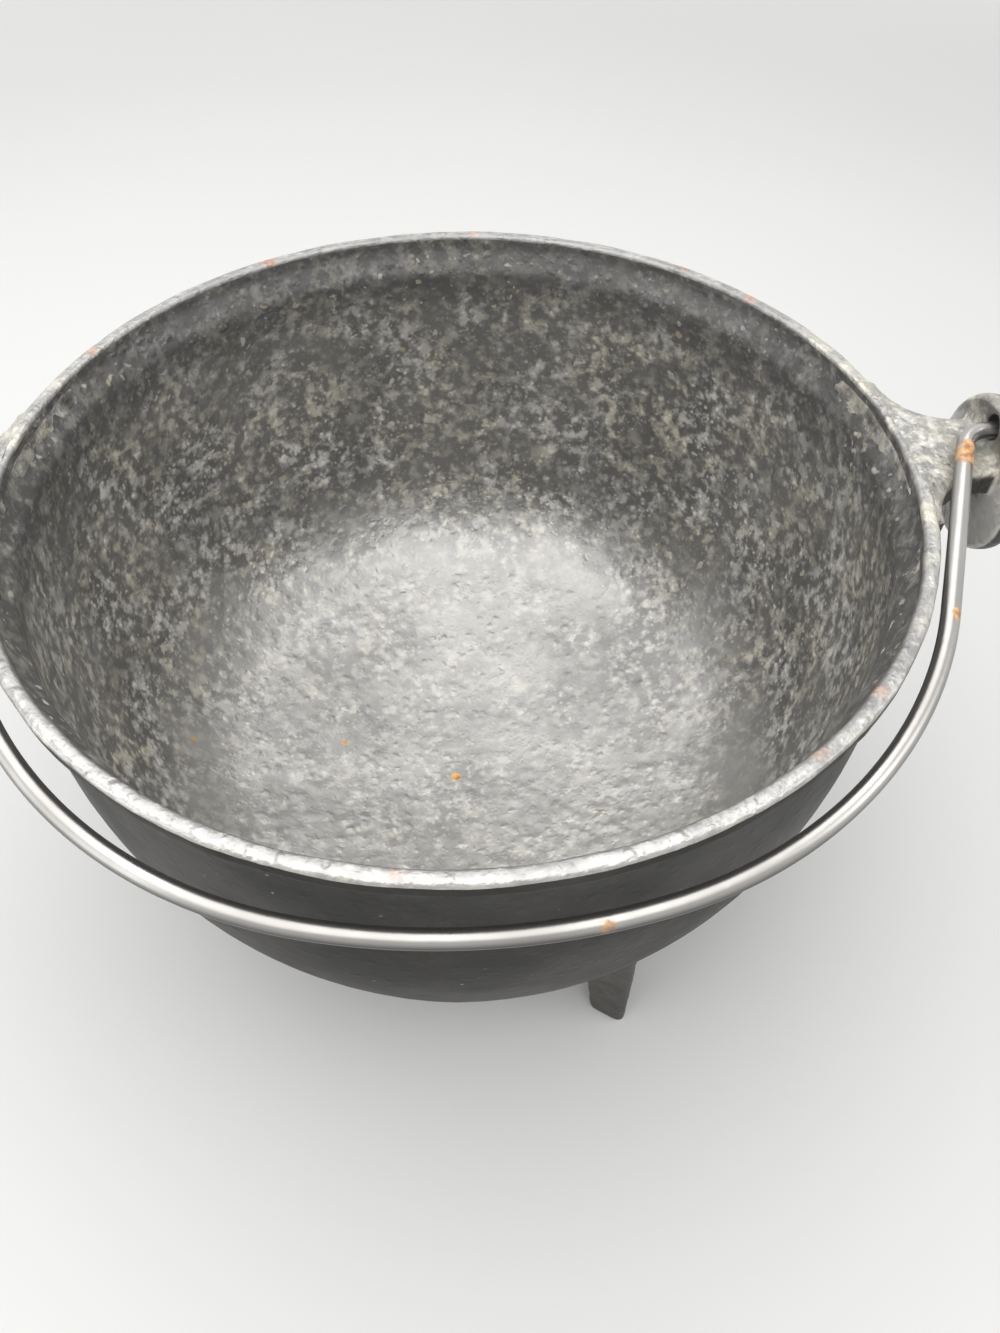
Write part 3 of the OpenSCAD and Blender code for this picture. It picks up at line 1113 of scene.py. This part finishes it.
@dataclass(frozen=True)
class CastOn:
    """A part of the casting that stands out from the bowl, run into its wall with soft corners.

    A strip of the wall, within half an angle either way of the part's azimuth and between two heights,
    lies behind it just under the bowl's surface. The part's root is sunk into that strip and fused with it.
    """

    kind: str
    side: str
    nodes: dict[str, Piece]
    profile: BowlProfile
    azimuth: float
    half_angle: float
    low: float
    high: float
    relief: Relief = CAST_PART
    sink: float = 0.30 * MM
    root: float = 1.0 * MM
    lap: float = 1.1 * MM
    lap_rise: float = 0.25 * MM
    voxel: float = 0.62 * MM
    rounds: int = 5
    skin: float = 0.08 * MM
    feel: float = 0.05 * MM
    strip_step: float = 1.5 * MM
    strip_turns: int = 24

    def seat_root(self, bm: Mesh) -> None:
        """Moves the vertices that lie on the bowl's surface into its wall, and laps the neck over the lip.

        Args:
            bm: Mesh of the node.
        """
        p, up = self.profile, Vector((0, 0, self.feel))
        for v in bm.verts:
            out = Vector((v.co.x, v.co.y, 0)).normalized()
            radius = math.hypot(v.co.x, v.co.y)
            if v.co.z > p.lip_base and radius < p.lip_r + self.skin:
                lapped = v.co.z > p.pot_h - 1.5 * p.lip_round
                v.co += out * ((p.mouth_r + self.lap if lapped else radius - self.root) - radius)
                if lapped:
                    v.co.z = p.pot_h + self.lap_rise
                continue
            if abs(p.height_over(v.co)) > self.skin:
                continue
            across = out * self.feel
            slope_r = p.height_over(v.co + across) - p.height_over(v.co - across)
            slope_z = p.height_over(v.co + up) - p.height_over(v.co - up)
            steep = math.hypot(slope_r, slope_z)
            v.co -= (out * slope_r + Vector((0, 0, slope_z))) * (self.root / steep)

    def strip_line(self) -> list[Level]:
        """The section of the strip of wall, with the lip's where the strip reaches it.

        Returns:
            Radius and height of each point, the first again at the end.
        """
        p = self.profile
        outer, inner = (
            [q for q in p.wall_line(inset, self.strip_step) if self.low <= q[1] <= self.high]
            for inset in (self.sink, p.wall - self.sink)
        )
        if self.high > p.flare_base:
            top, side = p.pot_h - p.lip_round - self.sink, p.lip_r - 2 * self.sink
            outer.append((p.lip_r - p.lip_round - self.sink, p.lip_base))
            outer += [(side, p.lip_base + p.lip_round), (side, top)]
            inner.append((p.mouth_r + 2 * self.sink, top))
        return outer + inner[::-1] + outer[:1]

    def add_wall(self, bm: Mesh) -> None:
        """Adds the strip of wall behind the part.

        Args:
            bm: Mesh that takes it.
        """
        start = self.azimuth - self.half_angle
        spin_line(bm, self.strip_line(), start, 2 * self.half_angle, self.strip_turns)
        bmesh.ops.holes_fill(bm, edges=[e for e in bm.edges if e.is_boundary], sides=0)

    def remesh(self, bm: Mesh) -> Mesh:
        """Fuses the closed shells into one even mesh.

        Args:
            bm: Mesh of the shells. It is freed.

        Returns:
            The fused mesh.
        """
        rough = finish_mesh("rough", bm)
        remesh = rough.modifiers.new("Remesh", "REMESH")
        remesh.mode = "VOXEL"
        remesh.voxel_size = self.voxel
        made = bmesh.new()
        made.from_object(rough, bpy.context.evaluated_depsgraph_get())
        bpy.data.meshes.remove(rough.data)
        return made

    def build(self, finish: Material) -> None:
        """Builds and dresses the part, which takes the place of its node.

        Args:
            finish: The part's material.
        """
        node = f"{self.kind}_{self.side}"
        bm = bmesh.new()
        bm.from_mesh(self.nodes[node].data)
        bmesh.ops.remove_doubles(bm, verts=bm.verts, dist=2 * MERGE)
        self.seat_root(bm)
        self.add_wall(bm)
        bmesh.ops.recalc_face_normals(bm, faces=bm.faces)
        bm = self.remesh(bm)
        for _ in range(self.rounds):
            bmesh.ops.smooth_vert(
                bm, verts=bm.verts, factor=0.5, use_axis_x=True, use_axis_y=True, use_axis_z=True
            )
        displace(bm, self.relief.height)
        lowest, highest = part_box(node)
        for v in bm.verts:
            if self.profile.height_over(v.co) > 0.0:
                v.co.z = min(max(v.co.z, lowest.z), highest.z)
        dress(finish_mesh(f"{self.kind}_casting_{self.side}", bm), Body.POT, node, [finish])


@dataclass
class Wire:
    """A round wire under way. It starts as a ring, and each straight or bend carries it on in the XY plane.

    The blunt tips are half a radius long and narrow to half the width.
    """

    radius: float
    place: Vector
    heading: float
    sides: int = 40
    step: float = 1.4 * MM
    fewest: int = 8
    blunt: float = 0.5
    bm: Mesh = field(default_factory=bmesh.new)
    ring: list[bmesh.types.BMEdge] = field(default_factory=list)

    def ahead(self) -> Vector:
        """The direction in which the wire runs."""
        return Vector((math.cos(self.heading), math.sin(self.heading), 0))

    def start(self) -> None:
        """Makes the first ring, closed by a face, and widens it over the blunt tip."""
        turn = Matrix.Rotation(self.heading, 4, "Z") @ Matrix.Rotation(math.pi / 2, 4, "Y")
        bmesh.ops.create_circle(
            self.bm,
            cap_ends=True,
            segments=self.sides,
            radius=self.blunt * self.radius,
            matrix=Matrix.Translation(self.place) @ turn,
        )
        self.ring = list(self.bm.edges)
        self.carry(self.blunt * self.radius, 1 / self.blunt)

    def carry(self, length: float, widen: float = 1.0) -> None:
        """Carries the ring straight on.

        Args:
            length: How far.
            widen: How much wider it gets, as a factor.
        """
        made = bmesh.ops.extrude_edge_only(self.bm, edges=self.ring)["geom"]
        verts = {v for v in made if isinstance(v, bmesh.types.BMVert)}
        self.ring = [e for e in made if isinstance(e, bmesh.types.BMEdge) and verts.issuperset(e.verts)]
        for v in verts:
            v.co = self.place + (v.co - self.place) * widen + self.ahead() * length
        self.place = self.place + self.ahead() * length

    def run(self, length: float) -> None:
        """Runs straight on.

        Args:
            length: How far.
        """
        steps = max(1, math.ceil(length / self.step))
        for _ in range(steps):
            self.carry(length / steps)

    def bend(self, radius: float, angle: float) -> None:
        """Bends to the left or to the right.

        Args:
            radius: Radius of the wire's middle.
            angle: Angle of the bend, negative to the right.
        """
        left = Vector((-math.sin(self.heading), math.cos(self.heading), 0))
        centre = self.place + left * math.copysign(radius, angle)
        steps = max(self.fewest, math.ceil(radius * abs(angle) / self.step))
        made = bmesh.ops.spin(
            self.bm, geom=self.ring, cent=centre, axis=(0, 0, 1), angle=angle, steps=steps, use_merge=False
        )["geom_last"]
        self.ring = [e for e in made if isinstance(e, bmesh.types.BMEdge)]
        self.place = centre + Matrix.Rotation(angle, 3, "Z") @ (self.place - centre)
        self.heading += angle

    def end(self) -> None:
        """Narrows the last ring over the blunt tip and closes it."""
        self.carry(self.blunt * self.radius, self.blunt)
        bmesh.ops.edgeloop_fill(self.bm, edges=self.ring)


@dataclass(frozen=True)
class Bail:
    """The bail: one wire in straights and bends from tail to tail, in the sizes of the frame's own."""

    profile: BowlProfile
    wire_r: float = 1.8 * MM
    neck_l: float = 14.7 * MM
    flange_t: float = 5.0 * MM
    crown_gap: float = 1.9 * MM
    crown_r: float = 129.0 * MM
    shoulder_r: float = 84.0 * MM
    arm_slope: float = math.radians(21)
    end_bend_r: float = 6.0 * MM
    eye_gap: float = 0.7 * MM
    tail_gap: float = 1.2 * MM
    tail_bend_r: float = 4.5 * MM
    tail_run: float = 7.0 * MM
    axis_rise: float = 2.4 * MM
    dip: float = math.radians(8)
    relief: Relief = DRAWN_WIRE

    def half(self) -> tuple[float, list[tuple[float, float, float]]]:
        """The wire from its tail to the crown.

        Returns:
            The tail's distance from the bail's middle, and the length of each straight with the radius and
            the angle of the bend after it.
        """
        slope, flange_x = self.arm_slope, self.profile.lip_r + self.neck_l
        bend_c = Vector((flange_x - self.eye_gap, -self.end_bend_r))
        arm_dir = Vector((-math.sin(slope), -math.cos(slope)))
        arm_in = Vector((-math.cos(slope), math.sin(slope)))
        crown_c = Vector((0, self.crown_r - self.profile.lip_r - self.crown_gap - self.wire_r))
        from_c = bend_c + (self.end_bend_r + self.shoulder_r) * arm_in - crown_c
        along = from_c.dot(arm_dir)
        arm_run = math.sqrt(along**2 - from_c.length_squared + (self.crown_r - self.shoulder_r) ** 2) - along
        shoulder = from_c + arm_run * arm_dir
        crown_turn = math.atan2(-shoulder.y, shoulder.x)
        tail_x = flange_x + self.flange_t + self.tail_gap
        return tail_x + self.tail_bend_r, [
            (self.tail_run, self.tail_bend_r, math.pi / 2),
            (tail_x - bend_c.x, self.end_bend_r, math.pi / 2 - slope),
            (arm_run, self.shoulder_r, slope - crown_turn),
        ]

    def build(self, finish: Material) -> None:
        """Builds and dresses the wire, which takes the place of the frame's.

        Args:
            finish: The wire's material.
        """
        tail_x, half = self.half()
        tail_y = -self.tail_bend_r - self.tail_run - 0.5 * self.wire_r
        wire = Wire(self.wire_r, Vector((tail_x, tail_y, 0)), math.pi / 2)
        wire.start()
        for length, radius, angle in half:
            wire.run(length)
            wire.bend(radius, angle)
        wire.bend(self.crown_r, math.pi - 2 * sum(angle for _, _, angle in half))
        for length, radius, angle in half[::-1]:
            wire.bend(radius, angle)
            wire.run(length)
        wire.end()
        bm = wire.bm
        bmesh.ops.remove_doubles(bm, verts=bm.verts, dist=MERGE)
        bmesh.ops.recalc_face_normals(bm, faces=bm.faces)
        displace(bm, self.relief.height)
        bmesh.ops.rotate(bm, verts=bm.verts, cent=(0, 0, 0), matrix=Matrix.Rotation(self.dip, 3, "X"))
        bmesh.ops.translate(bm, verts=bm.verts, vec=(0, 0, self.profile.pot_h + self.axis_rise))
        dress(finish_mesh("bail_wire", bm), Body.BAIL, "bail", [finish])


# Stage


@dataclass(frozen=True)
class Camera:
    """The photograph's camera, found from the mouth's and the lip's outlines."""

    place: Point = (-0.0034, -0.16245, 0.26025)
    yaw: float = math.radians(4.268)
    pitch: float = math.radians(50.603)
    roll: float = math.radians(0.467)
    lens: float = 27.0
    sensor: float = 36.0
    clip: Level = (0.01, 50.0)

    def build(self) -> None:
        """Makes the camera and gives it to the scene."""
        data = bpy.data.cameras.new("camera")
        data.lens = self.lens
        data.sensor_width = self.sensor
        data.clip_start, data.clip_end = self.clip
        camera = add_object("camera", data)
        turn = Matrix.Rotation(-self.yaw, 4, "Z") @ Matrix.Rotation(math.pi / 2 - self.pitch, 4, "X")
        camera.matrix_world = Matrix.Translation(self.place) @ turn @ Matrix.Rotation(self.roll, 4, "Z")
        bpy.context.scene.camera = camera


@dataclass(frozen=True)
class Lamp:
    """A soft box: its place, what it points at, its sides in metres and its power in watts."""

    name: str
    place: Point
    target: Point
    sides: Level
    power: float

    def build(self) -> None:
        """Makes the lamp."""
        data = bpy.data.lights.new(self.name, "AREA")
        data.shape = "RECTANGLE"
        data.size, data.size_y = self.sides
        data.energy = self.power
        lamp = add_object(self.name, data)
        lamp.location = self.place
        aim = Vector(self.target) - Vector(self.place)
        lamp.rotation_euler = aim.to_track_quat("-Z", "Y").to_euler()
        lamp.visible_camera = False


@dataclass(frozen=True)
class Studio:
    """Plain pale floor that fades to a backdrop far out, soft boxes and an even world."""

    floor_side: float = 6.0
    floor_colour: Colour = (0.76, 0.76, 0.75)
    floor_shade: float = 0.985
    floor_rough: float = 0.9
    floor_fade: Level = (0.42, 1.25)
    backdrop: float = 0.98
    world: float = 0.30
    lamps: tuple[Lamp, ...] = (
        Lamp("top_box", (-0.10, -0.02, 0.75), (-0.08, -0.02, 0.05), (1.40, 0.94), 8.8),
        Lamp("right_box", (0.72, -0.20, 0.60), (0.0, 0.0, 0.06), (0.45, 0.5), 1.4),
        Lamp("left_box", (-0.95, -0.30, 0.36), (0.0, 0.0, 0.10), (0.9, 0.9), 3.0),
    )

    @staticmethod
    def seen(g: Graph) -> Socket:
        """Mask of the rays that show the background: the camera's, and those of mirrors and glass."""
        path = g.node("ShaderNodeLightPath").outputs
        return g.most(g.most(path["Is Camera Ray"], path["Is Glossy Ray"]), path["Is Transmission Ray"])

    def paper(self) -> Material:
        """Builds the floor's finish.

        Returns:
            The material, which fades to a plain backdrop far from the pot.
        """
        material = bpy.data.materials.new("floor_paper")
        g = blank_graph(material)
        place = g.place()
        darker = rgba([self.floor_shade * c for c in self.floor_colour])
        colour = g.mix(g.ramp(g.noise(place, 3.0), 0.3, 0.7), darker, rgba(self.floor_colour))
        shader = g.node("ShaderNodeBsdfPrincipled", {"Base Color": colour, "Roughness": self.floor_rough})
        glow = g.node("ShaderNodeEmission", {"Strength": self.backdrop})
        away = g.ramp(g.vector("LENGTH", place).outputs["Value"], *self.floor_fade)
        inputs = {0: g.times(away, self.seen(g)), 1: shader.outputs[0], 2: glow.outputs[0]}
        g.node("ShaderNodeOutputMaterial", {0: g.node("ShaderNodeMixShader", inputs).outputs[0]})
        return material

    def light_world(self) -> None:
        """Makes the world: white where it is seen, and dimmer where it lights the pot."""
        world = bpy.data.worlds.new("studio")
        bpy.context.scene.world = world
        g = blank_graph(world)
        inputs = dict(enumerate((self.seen(g), 0.0, 1.0, self.world, 1.0)))
        strength = g.node("ShaderNodeMapRange", inputs).outputs[0]
        back = g.node("ShaderNodeBackground", {"Color": rgba((1.0, 1.0, 1.0)), "Strength": strength})
        g.node("ShaderNodeOutputWorld", {0: back.outputs[0]})

    def build(self) -> None:
        """Makes the floor, the lamps and the world."""
        bm = bmesh.new()
        bmesh.ops.create_grid(bm, x_segments=1, y_segments=1, size=self.floor_side / 2)
        floor = finish_mesh("floor", bm, smooth=False)
        floor.data.materials.append(self.paper())
        for lamp in self.lamps:
            lamp.build()
        self.light_world()
        bpy.context.scene.view_settings.view_transform = "Standard"


@dataclass(frozen=True)
class Cauldron:
    """The whole object: casting and bail on their frame."""

    nodes: dict[str, Piece]
    profile: BowlProfile = field(default_factory=BowlProfile)
    ear_half: float = math.radians(22)
    ear_drop: float = 32 * MM
    foot_names: tuple[str, ...] = ("front", "back", "left")
    foot_start: float = math.radians(27 - 90)
    foot_half: float = math.radians(15)
    foot_levels: Level = (27 * MM, 62 * MM)

    def build(self) -> None:
        """Builds every piece in order."""
        p = self.profile
        faces = {Face.OUTSIDE: OUTSIDE, Face.LIP: LIP, Face.INSIDE: INSIDE}
        Bowl(p).build([faces[face].build() for face in Face])
        ear = EAR.build()
        levels = (p.pot_h - self.ear_drop, p.pot_h)
        for side, azimuth in (("right", 0.0), ("left", math.pi)):
            CastOn("ear", side, self.nodes, p, azimuth, self.ear_half, *levels).build(ear)
        foot = FOOT.build()
        for index, side in enumerate(self.foot_names):
            azimuth = self.foot_start + math.tau * index / len(self.foot_names)
            CastOn("foot", side, self.nodes, p, azimuth, self.foot_half, *self.foot_levels).build(foot)
        Bail(p).build(WIRE.build())


def main() -> None:
    """Builds the dressed cauldron, its stage and its camera."""
    logging.basicConfig(level=logging.INFO, format="%(name)s: %(message)s")
    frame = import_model()
    Camera().build()
    Studio().build()
    build_effects()
    Cauldron(frame["nodes"]).build()


if __name__ == "__main__":
    main()
